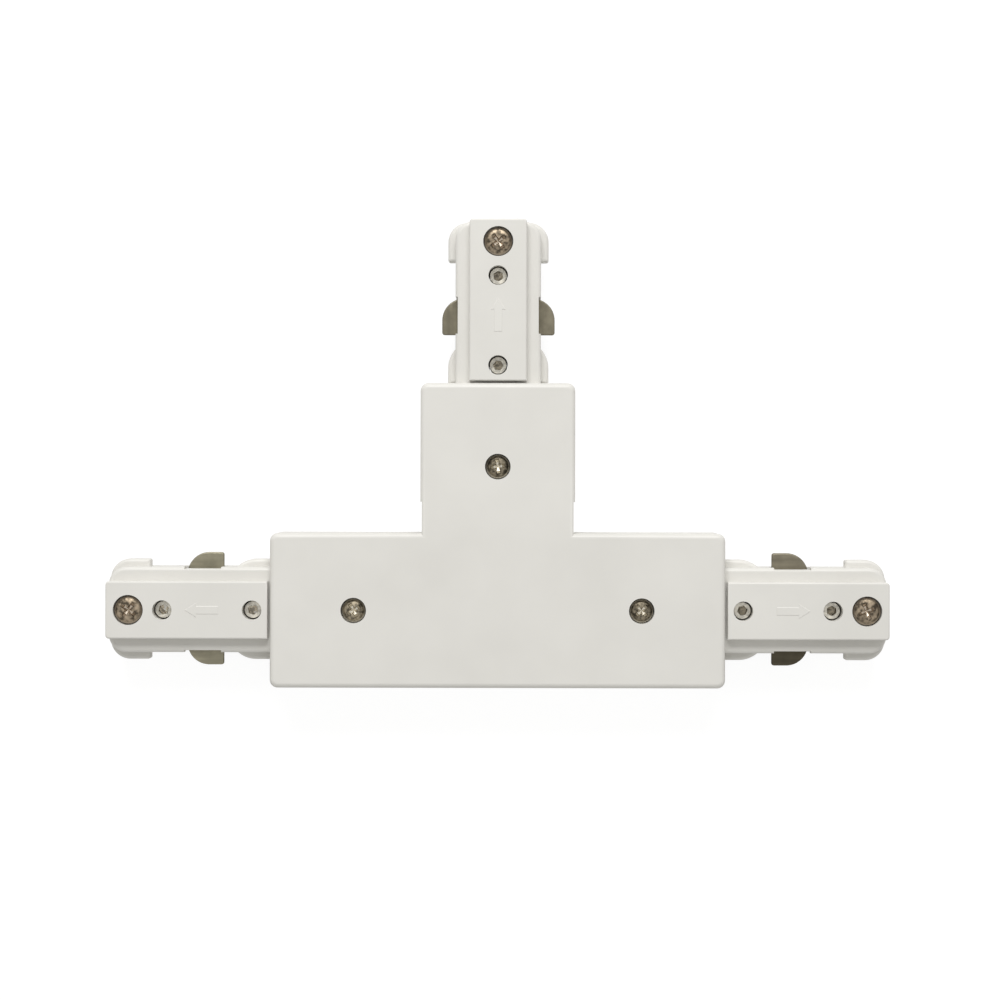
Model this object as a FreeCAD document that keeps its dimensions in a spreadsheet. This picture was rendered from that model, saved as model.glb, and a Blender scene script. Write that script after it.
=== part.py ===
"""T connector for a single-circuit lighting track, in millimetres.

A T-shaped housing joins three track ends.  Each of its arms carries a plug that slides into a
track: two sprung contacts reach the track's conductors and two set screws lock the plug.
Every arm is drawn along +X, outwards from the crossing of the arms, and then turned into place.
The back of the housing lies in the plane Z = 0, and +Z points into the room.
"""
import FreeCAD, Part
import math
import os
import re

import Sketcher

# alias, value and meaning of each driving dimension
SIZES = (
    ("arm_width", 35.0, "width of each arm of the housing, that of the track it joins"),
    ("arm_reach", 51.5, "from the crossing of the arms to the end face of each arm"),
    ("housing_height", 18.0, "from the back to the face"),
    ("cover_wall", 2.0, "side walls of the housing cover"),
    ("cover_roof", 2.0, "face of the housing cover"),
    ("cover_corner_radius", 1.8, "upright outer corners of the housing cover"),
    ("cover_edge_radius", 1.2, "edge all round the face of the housing cover"),
    ("relief_depth", 0.35, "shallow relief in both sides of the stem"),
    ("relief_length", 7.1, "length of that relief, from the inner corner"),
    ("base_thickness", 1.8, "plate that closes the back of the housing"),
    ("base_gap", 0.15, "play between that plate and the cover"),
    ("boss_wall", 1.6, "wall of the screw bosses"),
    ("neck_gap", 0.2, "play round each plug where it passes through the end wall"),
    ("face_gap", 0.05, "play between each plug and the end face"),
    ("housing_screw_place", 18.9, "from the end face back to each housing screw"),
    ("housing_screw_head", 5.4, "head diameter"),
    ("housing_screw_head_height", 2.0, "head height"),
    ("housing_screw_sink", 3.1, "from the face of the housing to the screw's seat"),
    ("housing_screw_shank", 2.9, "shank diameter"),
    ("housing_screw_tip_gap", 2.0, "from the screw's tip to the bottom of its threaded hole"),
    ("housing_screw_drive", 3.2, "length across the cross recess"),
    ("plug_screw_place", 32.1, "from the end face to the plug screw"),
    ("plug_screw_head", 6.4, "head diameter"),
    ("plug_screw_head_height", 2.2, "head height"),
    ("plug_screw_sink", 2.5, "from the face of the cap to the screw's seat"),
    ("plug_screw_shank", 3.4, "shank diameter"),
    ("plug_screw_tip_gap", 0.5, "from the screw's tip to the bottom of its threaded hole"),
    ("plug_screw_drive", 3.8, "length across the cross recess"),
    ("drive_width", 0.9, "width of the arms of the cross recesses"),
    ("drive_depth", 1.3, "depth of the cross recesses"),
    ("head_gap", 0.2, "play round a screw head in its recess"),
    ("shank_gap", 0.25, "play round a shank in its clearance hole"),
    ("thread_gap", 0.05, "play round a thread in its threaded hole"),
    ("plug_length", 37.2, "from the end face of the housing to the tip of the cap"),
    ("plug_wall", 1.6, "side walls of the plug"),
    ("plug_floor", 1.2, "floor of the plug's base"),
    ("plug_parting", 11.0, "height of the plane where plug base and plug cover meet"),
    ("lobe_width", 22.9, "across the lobes that guide the plug in the track"),
    ("lobe_thickness", 4.0, "from the parting plane down to the underside of the lobes"),
    ("lobe_edge_radius", 0.8, "upper edge of the lobes"),
    ("waist_width", 19.4, "across the plug between its lobes, and across its ledge"),
    ("ledge_height", 14.6, "height of the ledge beside the cap"),
    ("ledge_corner_radius", 4.0, "tip corners of the plug below its cap"),
    ("ledge_edge_radius", 0.9, "upper edge of the ledge"),
    ("cap_width", 13.0, "width of the raised cap"),
    ("cap_height", 17.4, "height of the cap's face"),
    ("cap_gap", 0.55, "gap between the cap and the end face of the housing"),
    ("cap_corner_radius", 0.8, "upright corners of the cap"),
    ("cap_edge_radius", 0.4, "edge round the face of the cap"),
    ("tip_step", 0.35, "how far the cap stands out past the base at the tip"),
    ("root_lobe_flat", 3.6, "full-width length of the lobe beside the housing"),
    ("root_lobe_radius", 6.5, "rounding of that lobe towards the waist"),
    ("tip_lobe_length", 9.4, "length of the lobe at the tip"),
    ("tip_lobe_radius", 4.5, "lead-in rounding of that lobe"),
    ("tip_lobe_corner_radius", 0.5, "its corners on the housing's side"),
    ("flange_thickness", 2.0, "flange that holds the plug behind the end wall"),
    ("flange_step", 2.3, "how far the flange stands out past the waist, each side"),
    ("tongue_length", 3.8, "floor of the plug that reaches on past the flange"),
    ("rib_place", 5.1, "from the centre line to the middle of each insulating rib"),
    ("rib_thickness", 1.0, "insulating ribs between contacts and clamp bar"),
    ("rib_height", 5.2, "height of those ribs above the plug's floor"),
    ("set_screw_diameter", 4.0, "thread diameter of the set screws"),
    ("set_screw_length", 10.0, "length of the set screws"),
    ("set_screw_lift", 2.1, "from the underside of the plug to the tip of a set screw"),
    ("set_screw_inner_place", 4.1, "from the end face to the inner set screw"),
    ("set_screw_outer_place", 24.4, "from the end face to the outer set screw"),
    ("hex_key", 2.0, "across the flats of the socket"),
    ("hex_depth", 2.4, "depth of the socket"),
    ("key_hole_diameter", 4.4, "holes in the cap above the set screws"),
    ("collar_wall", 1.1, "collars that carry those holes down to the clamp bar"),
    ("clamp_bar_width", 8.0, "threaded bar in the floor of the plug"),
    ("clamp_bar_thickness", 2.8, "thickness of that bar"),
    ("clamp_bar_inner", 7.0, "how far the bar reaches into the housing"),
    ("clamp_bar_outer", 28.0, "how far the bar reaches towards the tip"),
    ("sheet_thickness", 0.8, "brass sheet of the contacts and busbars"),
    ("leaf_spacing", 14.0, "between the inner faces of a plug's two contact leaves"),
    ("leaf_height", 4.4, "height of a contact leaf"),
    ("leaf_lift", 0.1, "play under a contact leaf"),
    ("leaf_tail", 8.0, "how far a contact leaf reaches into the housing"),
    ("wing_span", 25.8, "across the two contact wings of a plug"),
    ("wing_start", 11.3, "from the end face to the square end of a wing"),
    ("wing_length", 8.4, "length of a wing along the plug"),
    ("wing_lead_radius", 5.0, "lead-in rounding of a wing"),
    ("wing_corner_radius", 0.6, "rounding of a wing's square corner"),
    ("wing_edge_radius", 0.3, "upper edge of a wing"),
    ("wing_notch_depth", 0.5, "shallow notch in the plug cover's side above a wing"),
    ("fold_radius", 0.4, "edge along the fold of a contact"),
    ("wing_gap", 0.25, "play above and below a wing in its slot"),
    ("wing_end_gap", 0.5, "play at each end of a wing in its slot"),
    ("strip_width", 2.8, "width of the busbars"),
    ("strip_spacing", 12.4, "between the inner edges of the two busbars"),
    ("strip_end", 8.5, "from the end face back to the flat end of a busbar"),
    ("tab_length", 6.0, "length of a busbar's upturned tab"),
    ("tab_end", 5.0, "from the end face back to the tip of that tab"),
    ("bridge_lift", 4.0, "rise of the neutral busbar where it bridges the live one"),
    ("bridge_gap", 1.0, "between the bridge's legs and the live busbar"),
    ("link_width", 7.0, "width of the earth link"),
    ("link_height", 9.0, "height of the underside of the earth link"),
    ("link_drop_place", 9.8, "from the end face back to the step of the earth link"),
    ("link_foot_end", 3.2, "from the end face back to the tip of the earth link"),
    ("cradle_length", 1.4, "cradle ribs under the busbars, measured along an arm"),
    ("cradle_inner_place", 27.0, "from the end face back to the inner cradle rib"),
    ("cradle_outer_place", 11.5, "from the end face back to the outer cradle rib"),
    ("stop_thickness", 1.4, "ribs of the base that stop a plug's flange"),
    ("stop_width", 1.8, "width of those ribs"),
    ("stop_height", 6.0, "height of those ribs above the base plate"),
)

# each arm lies a quarter turn on from the one before it
ARMS = ("right", "stem", "left")
SIDES = {"live": {"right": 1, "stem": 1, "left": -1}, "neutral": {"right": -1, "stem": -1, "left": 1}}
TOLERANCE = 1e-4

doc = FreeCAD.newDocument("TrackConnector")
sheet = doc.addObject("Spreadsheet::Sheet", "Sizes")
for row, (alias, value, meaning) in enumerate(SIZES, start=1):
    sheet.set(f"A{row}", meaning)
    sheet.set(f"B{row}", str(value))
    sheet.setAlias(f"B{row}", alias)
doc.recompute()

pieces = []


def sized(formula):
    """The formula with each alias read from the sheet."""
    return re.sub(r"[a-z][a-z_]+", r"Sizes.\g<0>", formula)


def piece(label):
    """A new body, which becomes one piece of the assembly."""
    body = doc.addObject("PartDesign::Body", label)
    body.Label = label
    pieces.append(body)
    return body


# Loops: a polygon is a list of (x, y) formulas, and a circle is an (x, y, radius) tuple.

def block(low_x, high_x, low_y, high_y):
    return [(low_x, low_y), (high_x, low_y), (high_x, high_y), (low_x, high_y)]


def across(low_x, high_x, half):
    """A rectangle that lies evenly across an arm's centre line."""
    return block(low_x, high_x, f"-({half})", half)


def both_sides(low_x, high_x, low_y, high_y):
    """Two rectangles, one on each side of an arm's centre line."""
    return [block(low_x, high_x, low_y, high_y), block(low_x, high_x, f"-({high_y})", f"-({low_y})")]


def tee(half, reach):
    """The outline of the T: half the width of its arms, and their reach."""
    return [(f"-({reach})", f"-({half})"), (reach, f"-({half})"), (reach, half), (half, half),
            (half, reach), (f"-({half})", reach), (f"-({half})", half), (f"-({reach})", half)]


def turned(place, arm):
    """A place on the +X arm, carried over to the named arm."""
    x, y = place
    if arm == "stem":
        return f"-({y})", x
    if arm == "left":
        return f"-({x})", f"-({y})"
    return x, y


def on_each_arm(*loops):
    """The given loops of the +X arm, repeated on all three arms."""
    copies = []
    for arm in ARMS:
        for loop in loops:
            if isinstance(loop, tuple):
                copies.append((*turned(loop[:2], arm), loop[2]))
            else:
                copies.append([turned(corner, arm) for corner in loop])
    return copies


def place_point(sketch, element, point, x, y):
    """Ties a point of a sketch to two formulas, measured from the sketch's origin."""
    for kind, formula in (("DistanceX", x), ("DistanceY", y)):
        index = sketch.addConstraint(Sketcher.Constraint(kind, -1, 1, element, point, 1.0))
        sketch.setExpression(f"Constraints[{index}]", sized(formula))


def draw(body, name, height, loops, plane="XY_Plane"):
    """A sketch in, or parallel to, one of the body's own planes."""
    sketch = body.newObject("Sketcher::SketchObject", f"{body.Name}_{name}_sketch")
    support = next(item for item in body.Origin.OriginFeatures if item.Role == plane)
    sketch.AttachmentSupport = [(support, "")]
    sketch.MapMode = "FlatFace"
    sketch.setExpression("AttachmentOffset.Base.z", sized(height))
    for loop in loops:
        first = sketch.GeometryCount
        if isinstance(loop, tuple):
            sketch.addGeometry(Part.Circle(FreeCAD.Vector(), FreeCAD.Vector(0, 0, 1), 1.0))
            place_point(sketch, first, 3, loop[0], loop[1])
            index = sketch.addConstraint(Sketcher.Constraint("Radius", first, 1.0))
            sketch.setExpression(f"Constraints[{index}]", sized(loop[2]))
            continue
        count = len(loop)
        ring = [FreeCAD.Vector(math.cos(math.tau * i / count), math.sin(math.tau * i / count))
                for i in range(count)]
        for i in range(count):
            sketch.addGeometry(Part.LineSegment(ring[i], ring[(i + 1) % count]))
        for i, (x, y) in enumerate(loop):
            following = first + (i + 1) % count
            sketch.addConstraint(Sketcher.Constraint("Coincident", first + i, 2, following, 1))
            place_point(sketch, first + i, 1, x, y)
    return sketch


def pad(body, name, low, high, *loops):
    """Adds material inside the loops, from one height to another."""
    feature = body.newObject("PartDesign::Pad", f"{body.Name}_{name}")
    feature.Profile = draw(body, name, low, loops)
    feature.setExpression("Length", sized(f"({high}) - ({low})"))
    body.Tip = feature


def cut(body, name, low, high, *loops):
    """Takes material away inside the loops, from one height up to another."""
    doc.recompute()
    before = body.Tip.Shape.Volume
    sketch = draw(body, name, low, loops)
    feature = body.newObject("PartDesign::Pocket", f"{body.Name}_{name}")
    feature.Profile = sketch
    feature.Reversed = True
    feature.setExpression("Length", sized(f"({high}) - ({low})"))
    body.Tip = feature
    doc.recompute()
    if feature.Shape.Volume > before - TOLERANCE:
        raise RuntimeError(f"{feature.Name} cuts nothing")


def pad_rounded(body, name, low, high, low_x, high_x, half, radius):
    """Adds a block across the centre line whose two corners at its outer end are round."""
    middle, narrow = f"{high_x} - {radius}", f"{half} - {radius}"
    pad(body, name, low, high, across(low_x, middle, half))
    pad(body, f"{name}_nose", low, high, across(middle, high_x, narrow))
    pad(body, f"{name}_corners", low, high, (middle, narrow, radius), (middle, f"-({narrow})", radius))


def turn(body, name, profile):
    """A turned piece: the profile, in X and Z, goes once round the Z axis."""
    sketch = draw(body, name, "0", [profile], plane="XZ_Plane")
    feature = body.newObject("PartDesign::Revolution", f"{body.Name}_{name}")
    feature.Profile = sketch
    feature.ReferenceAxis = (sketch, ["V_Axis"])
    feature.Angle = 360
    body.Tip = feature


def dress(kind, body, name, size, wanted):
    """Rounds or bevels each edge whose box, beside the whole body's box, is wanted."""
    doc.recompute()
    base = body.Tip
    whole = base.Shape.BoundBox
    names = [f"Edge{number}" for number, edge in enumerate(base.Shape.Edges, start=1)
             if wanted(edge.BoundBox, whole)]
    if not names:
        raise RuntimeError(f"{body.Name}_{name} finds no edge")
    feature = body.newObject(f"PartDesign::{kind}", f"{body.Name}_{name}")
    feature.Base = (base, names)
    feature.setExpression("Radius" if kind == "Fillet" else "Size", sized(size))
    body.Tip = feature


def same(one, other):
    return abs(one - other) < TOLERANCE


def upright(box):
    return box.XLength < TOLERANCE and box.YLength < TOLERANCE


def at_tip(box, whole):
    """Upright edges at the outer end of a piece of the +X arm."""
    return upright(box) and same(box.XMax, whole.XMax)


def at_top(box, whole):
    """Edges that lie in the top face."""
    return same(box.ZMin, whole.ZMax)


def at_side(box, whole):
    """Edges that reach the furthest from the centre line, whichever side the piece lies on."""
    return same(max(-box.YMin, box.YMax), max(-whole.YMin, whole.YMax))


def stand(body, arm, x="0", z="0"):
    """Turns a piece into its arm, at a distance along the arm and a height."""
    quarters = ARMS.index(arm)
    body.Placement = FreeCAD.Placement(
        FreeCAD.Vector(), FreeCAD.Rotation(FreeCAD.Vector(0, 0, 1), 90 * quarters))
    place = turned((x, "0"), arm)
    body.setExpression("Placement.Base.x", sized(place[0]))
    body.setExpression("Placement.Base.y", sized(place[1]))
    body.setExpression("Placement.Base.z", sized(z))


# Heights and places that several pieces share
PLUG_FLOOR = "base_thickness + plug_floor"
BAR_TOP = f"{PLUG_FLOOR} + clamp_bar_thickness"
LINK_TOP = "link_height + sheet_thickness"
HOUSING_SEAT = "housing_height - housing_screw_sink"
HOUSING_THREAD_BOTTOM = "base_thickness / 2"
HOUSING_SCREW = "arm_reach - housing_screw_place"
PLUG_SEAT = "cap_height - plug_screw_sink"
PLUG_THREAD_BOTTOM = "base_thickness + plug_floor / 2"
PLUG_SCREW = "arm_reach + plug_screw_place"
WING_TOP = f"{PLUG_FLOOR} + leaf_lift + leaf_height"
WING_UNDER = f"{WING_TOP} - sheet_thickness"
WAIST = "waist_width / 2"
PLUG_INSIDE = f"{WAIST} - plug_wall"
NECK_ROOT = "arm_reach - cover_wall - neck_gap"
PLUG_ROOT = f"{NECK_ROOT} - flange_thickness"
PLUG_TIP = "arm_reach + plug_length - tip_step"
FLANGE = f"{WAIST} + flange_step"
LEAF = "leaf_spacing / 2"
STRIP = "strip_spacing / 2"


def housing_cover():
    """The white T-shaped shell: three screw towers inside, and an open notch in each end wall."""
    body = piece("housing_cover")
    half = "arm_width / 2"
    pad(body, "outline", "0", "housing_height", tee(half, "arm_reach"))
    dress("Fillet", body, "corners", "cover_corner_radius",
          lambda box, whole: upright(box) and (same(abs(box.XMax), whole.XMax) or same(box.YMax, whole.YMax)
                                               or same(box.YMax, whole.YMin)))
    dress("Fillet", body, "face_edge", "cover_edge_radius", at_top)
    relief = block(f"{half} - relief_depth", f"{half} + relief_depth", half, f"{half} + relief_length")
    mirrored = [(f"-({x})", y) for x, y in relief]
    cut(body, "relief", "0", "housing_height", relief, mirrored)
    ceiling = "housing_height - cover_roof"
    inside = "arm_reach - cover_wall"
    cut(body, "hollow", "0", ceiling, tee(f"{half} - cover_wall", inside))
    tower = (HOUSING_SCREW, "0", "housing_screw_head / 2 + head_gap + boss_wall")
    pad(body, "towers", LINK_TOP, ceiling, *on_each_arm(tower))
    rib = across(f"{inside} - neck_gap - flange_thickness", inside, FLANGE)
    pad(body, "hold_down_ribs", "plug_parting + neck_gap", ceiling, *on_each_arm(rib))
    notch = across(inside, "arm_reach", f"{WAIST} + neck_gap")
    cut(body, "end_notches", "0", "plug_parting + neck_gap", *on_each_arm(notch))
    hole = (HOUSING_SCREW, "0", "housing_screw_shank / 2 + shank_gap")
    cut(body, "screw_holes", LINK_TOP, "housing_height", *on_each_arm(hole))
    recess = (HOUSING_SCREW, "0", "housing_screw_head / 2 + head_gap")
    cut(body, "screw_recesses", HOUSING_SEAT, "housing_height", *on_each_arm(recess))


def housing_base():
    """The plate that closes the back, with screw bosses, busbar cradles and stops for the plugs."""
    body = piece("housing_base")
    half = "arm_width / 2 - cover_wall - base_gap"
    reach = "arm_reach - cover_wall - base_gap"
    pad(body, "plate", "0", "base_thickness", tee(half, reach))
    lip = across(reach, "arm_reach", f"{WAIST} + neck_gap - base_gap")
    pad(body, "notch_lips", "0", "base_thickness", *on_each_arm(lip))
    boss_radius = "housing_screw_shank / 2 + thread_gap + boss_wall"
    pad(body, "bosses", "base_thickness", "link_height",
        *on_each_arm((HOUSING_SCREW, "0", boss_radius)))
    ribs = []
    for place in ("cradle_inner_place", "cradle_outer_place"):
        low, high = f"arm_reach - {place} - cradle_length / 2", f"arm_reach - {place} + cradle_length / 2"
        ribs += both_sides(low, high, STRIP, f"{STRIP} + strip_width")
    pad(body, "busbar_cradles", "base_thickness", PLUG_FLOOR, *on_each_arm(*ribs))
    stop_end = f"{PLUG_ROOT} - neck_gap"
    stops = both_sides(f"{stop_end} - stop_thickness", stop_end, f"{FLANGE} - stop_width", FLANGE)
    pad(body, "flange_stops", "base_thickness", "base_thickness + stop_height", *on_each_arm(*stops))
    thread = (HOUSING_SCREW, "0", "housing_screw_shank / 2 + thread_gap")
    cut(body, "threaded_holes", HOUSING_THREAD_BOTTOM, "link_height", *on_each_arm(thread))


def screw(label, arm, kind, x, seat, bottom):
    """A pan-head screw with a cross recess, drawn with its seat at Z = 0."""
    body = piece(label)
    head, height, shank = f"{kind}_head / 2", f"{kind}_head_height", f"{kind}_shank / 2"
    tip = f"{bottom} + {kind}_tip_gap - ({seat})"
    turn(body, "blank", [("0", tip), (f"{shank} * 0.55", tip), (shank, f"{tip} + {shank}"), (shank, "0"),
                         (head, "0"), (head, height), ("0", height)])
    dress("Fillet", body, "pan", f"{height} * 0.55", at_top)
    arm_half, width = f"{kind}_drive / 2", "drive_width / 2"
    cut(body, "drive", f"{height} - drive_depth", height,
        [(arm_half, f"-{width}"), (arm_half, width), (width, width), (width, arm_half),
         (f"-{width}", arm_half), (f"-{width}", width), (f"-{arm_half}", width),
         (f"-{arm_half}", f"-{width}"), (f"-{width}", f"-{width}"), (f"-{width}", f"-{arm_half}"),
         (width, f"-{arm_half}"), (width, f"-{width}")])
    stand(body, arm, x, seat)


def plug_base(arm):
    """The lower half of a plug: an open tray with two guide lobes on each side."""
    body = piece(f"plug_base_{arm}")
    root, lobe, lobe_under = "arm_reach + face_gap", "lobe_width / 2", "plug_parting - lobe_thickness"
    pad(body, "root_lobe", lobe_under, "plug_parting",
        across(root, "arm_reach + root_lobe_flat + root_lobe_radius", lobe))
    dress("Fillet", body, "root_lobe_rounding", "root_lobe_radius", at_tip)
    pad(body, "waist", "base_thickness", "plug_parting", across(PLUG_ROOT, PLUG_TIP, WAIST))
    dress("Fillet", body, "waist_corners", "ledge_corner_radius", at_tip)
    pad(body, "tip_lobe", lobe_under, "plug_parting",
        across("arm_reach + plug_length - tip_lobe_length", PLUG_TIP, lobe))
    dress("Fillet", body, "lead_in", "tip_lobe_radius",
          lambda box, whole: at_tip(box, whole) and at_side(box, whole))
    dress("Fillet", body, "tip_lobe_corners", "tip_lobe_corner_radius",
          lambda box, whole: upright(box) and at_side(box, whole)
          and whole.Center.x < box.XMax < whole.XMax - 2 * box.ZLength)
    waist_side = sheet.get("waist_width") / 2
    dress("Fillet", body, "lobe_edges", "lobe_edge_radius",
          lambda box, whole: at_top(box, whole) and max(-box.YMin, box.YMax) > waist_side + TOLERANCE)
    pad(body, "flange", "base_thickness", "plug_parting", across(PLUG_ROOT, NECK_ROOT, FLANGE))
    pad(body, "tongue", "base_thickness", PLUG_FLOOR,
        across(f"{PLUG_ROOT} - tongue_length", PLUG_ROOT, WAIST))
    cut(body, "tray", PLUG_FLOOR, "plug_parting",
        across(PLUG_ROOT, f"{PLUG_TIP} - plug_wall", PLUG_INSIDE))
    pad(body, "insulating_ribs", PLUG_FLOOR, f"{PLUG_FLOOR} + rib_height",
        *both_sides(f"{PLUG_ROOT} - tongue_length", "arm_reach + wing_start + wing_length + rib_place",
                    "rib_place - rib_thickness / 2", "rib_place + rib_thickness / 2"))
    pad(body, "screw_boss", PLUG_FLOOR, "plug_parting",
        (PLUG_SCREW, "0", "plug_screw_shank / 2 + thread_gap + boss_wall"))
    cut(body, "threaded_hole", PLUG_THREAD_BOTTOM, "plug_parting",
        (PLUG_SCREW, "0", "plug_screw_shank / 2 + thread_gap"))
    cut(body, "set_screw_holes", "base_thickness", PLUG_FLOOR,
        *((f"arm_reach + set_screw_{place}_place", "0", "set_screw_diameter / 2 + shank_gap")
          for place in ("inner", "outer")))
    cut(body, "wing_slots", f"{WING_UNDER} - wing_gap", "plug_parting",
        *both_sides("arm_reach + wing_start - wing_end_gap",
                    "arm_reach + wing_start + wing_length + wing_end_gap", PLUG_INSIDE, WAIST))
    stand(body, arm)


def plug_cover(arm):
    """The upper half of a plug: a ledge, a raised cap, and collars that hold the clamp bar down."""
    body = piece(f"plug_cover_{arm}")
    root, cap = "arm_reach + face_gap", "cap_width / 2"
    pad(body, "ledge", "plug_parting", "ledge_height", across(root, PLUG_TIP, WAIST))
    dress("Fillet", body, "ledge_corners", "ledge_corner_radius", at_tip)
    dress("Fillet", body, "ledge_edge", "ledge_edge_radius",
          lambda box, whole: at_top(box, whole) and not same(box.XMax, whole.XMin))
    pad_rounded(body, "cap", "ledge_height - ledge_edge_radius", "cap_height",
                "arm_reach + cap_gap", "arm_reach + plug_length", cap, "cap_corner_radius")
    dress("Fillet", body, "cap_edge", "cap_edge_radius", at_top)
    inner_root, inner_tip = f"{root} + plug_wall", f"{PLUG_TIP} - plug_wall"
    cut(body, "ledge_hollow", "plug_parting", "ledge_height - plug_wall",
        across(inner_root, inner_tip, PLUG_INSIDE))
    ceiling = "cap_height - plug_wall"
    cut(body, "cap_hollow", "ledge_height - plug_wall", ceiling,
        across(inner_root, inner_tip, f"{cap} - plug_wall"))
    pad(body, "lintel_tongue", "plug_parting - plug_wall", "plug_parting",
        across(PLUG_ROOT, inner_root, f"{PLUG_INSIDE} - neck_gap"))
    slot_low, slot_high = "arm_reach + wing_start", "arm_reach + wing_start + wing_length"
    pad(body, "slot_tabs", f"{WING_TOP} + wing_gap", "plug_parting",
        *both_sides(slot_low, slot_high, PLUG_INSIDE, WAIST))
    cut(body, "wing_notches", f"{WING_TOP} + wing_gap", "ledge_height",
        *both_sides(slot_low, slot_high, f"{WAIST} - wing_notch_depth", f"{WAIST} + wing_notch_depth"))
    pad(body, "screw_tower", "plug_parting", ceiling,
        (PLUG_SCREW, "0", "plug_screw_head / 2 + head_gap + boss_wall"))
    set_places = [f"arm_reach + set_screw_{place}_place" for place in ("inner", "outer")]
    pad(body, "collars", BAR_TOP, ceiling,
        *((place, "0", "key_hole_diameter / 2 + collar_wall") for place in set_places))
    cut(body, "key_holes", BAR_TOP, "cap_height",
        *((place, "0", "key_hole_diameter / 2") for place in set_places))
    cut(body, "screw_hole", "plug_parting", "cap_height",
        (PLUG_SCREW, "0", "plug_screw_shank / 2 + shank_gap"))
    cut(body, "screw_recess", PLUG_SEAT, "cap_height",
        (PLUG_SCREW, "0", "plug_screw_head / 2 + head_gap"))
    stand(body, arm)


def clamp_bar(arm):
    """The threaded steel bar in the floor of a plug, which takes both set screws."""
    body = piece(f"clamp_bar_{arm}")
    pad(body, "bar", PLUG_FLOOR, BAR_TOP,
        across("arm_reach - clamp_bar_inner", "arm_reach + clamp_bar_outer", "clamp_bar_width / 2"))
    dress("Chamfer", body, "corners", "clamp_bar_width / 10", lambda box, whole: upright(box))
    cut(body, "threads", PLUG_FLOOR, BAR_TOP,
        *((f"arm_reach + set_screw_{place}_place", "0", "set_screw_diameter / 2 + thread_gap")
          for place in ("inner", "outer")))
    stand(body, arm)


def set_screw(arm, place):
    """A headless screw with a hexagon socket, drawn with its tip at Z = 0."""
    body = piece(f"set_screw_{arm}_{place}")
    radius, bevel = "set_screw_diameter / 2", "set_screw_diameter / 8"
    turn(body, "blank", [("0", "0"), (f"{radius} - 2 * {bevel}", "0"), (radius, f"2 * {bevel}"),
                         (radius, f"set_screw_length - {bevel}"),
                         (f"{radius} - {bevel}", "set_screw_length"), ("0", "set_screw_length")])
    corner = 0.5 / math.cos(math.pi / 6)
    hexagon = [(f"hex_key * {corner * math.cos(math.pi * i / 3):.6f}",
                f"hex_key * {corner * math.sin(math.pi * i / 3):.6f}") for i in range(6)]
    cut(body, "socket", "set_screw_length - hex_depth", "set_screw_length", hexagon)
    stand(body, arm, f"arm_reach + set_screw_{place}_place", "base_thickness + set_screw_lift")


def contact(arm, circuit):
    """A folded strip: an upright leaf that springs, and a flat wing that meets the conductor."""
    body = piece(f"contact_{arm}_{circuit}")
    side = SIDES[circuit][arm]
    pad(body, "leaf", f"{PLUG_FLOOR} + leaf_lift", WING_TOP,
        block("arm_reach - leaf_tail", "arm_reach + wing_start + wing_length",
              f"{side} * ({LEAF})", f"{side} * ({LEAF} + sheet_thickness)"))
    wing_end = "arm_reach + wing_start + wing_length"
    pad(body, "wing", WING_UNDER, WING_TOP,
        block("arm_reach + wing_start", wing_end, f"{side} * ({LEAF})", f"{side} * wing_span / 2"))
    dress("Fillet", body, "lead_in", "wing_lead_radius",
          lambda box, whole: at_tip(box, whole) and at_side(box, whole))
    dress("Fillet", body, "square_corner", "wing_corner_radius",
          lambda box, whole: upright(box) and at_side(box, whole)
          and box.XMax < whole.Center.x + whole.XLength / 4)
    leaf_face = sheet.get("leaf_spacing") / 2 + sheet.get("sheet_thickness")
    dress("Fillet", body, "wing_edge", "wing_edge_radius",
          lambda box, whole: at_top(box, whole) and max(-box.YMin, box.YMax) > leaf_face + TOLERANCE)
    dress("Fillet", body, "fold", "fold_radius",
          lambda box, whole: at_top(box, whole) and box.YLength < TOLERANCE
          and same(min(abs(box.YMin), abs(box.YMax)), min(abs(whole.YMin), abs(whole.YMax))))
    stand(body, arm)


def busbar_tabs(side, places):
    """The upturned tabs of a busbar, each flat against the tail of a contact's leaf."""
    tab = block("arm_reach - tab_end - tab_length", "arm_reach - tab_end",
                f"{side} * ({STRIP})", f"{side} * ({STRIP} + sheet_thickness)")
    return [[turned(corner, arm) for corner in tab] for arm in places]


def live_busbar():
    """The straight busbar, with a branch up the stem."""
    body = piece("live_busbar")
    low, high = PLUG_FLOOR, f"{PLUG_FLOOR} + sheet_thickness"
    inner, outer, end = STRIP, f"{STRIP} + strip_width", "arm_reach - strip_end"
    pad(body, "strip", low, high,
        [(f"-({end})", inner), (end, inner), (end, outer), (f"-({inner})", outer),
         (f"-({inner})", end), (f"-({outer})", end), (f"-({outer})", outer), (f"-({end})", outer)])
    pad(body, "tabs", low, WING_TOP, *busbar_tabs(1, ("right", "stem")), *busbar_tabs(-1, ("left",)))


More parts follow.
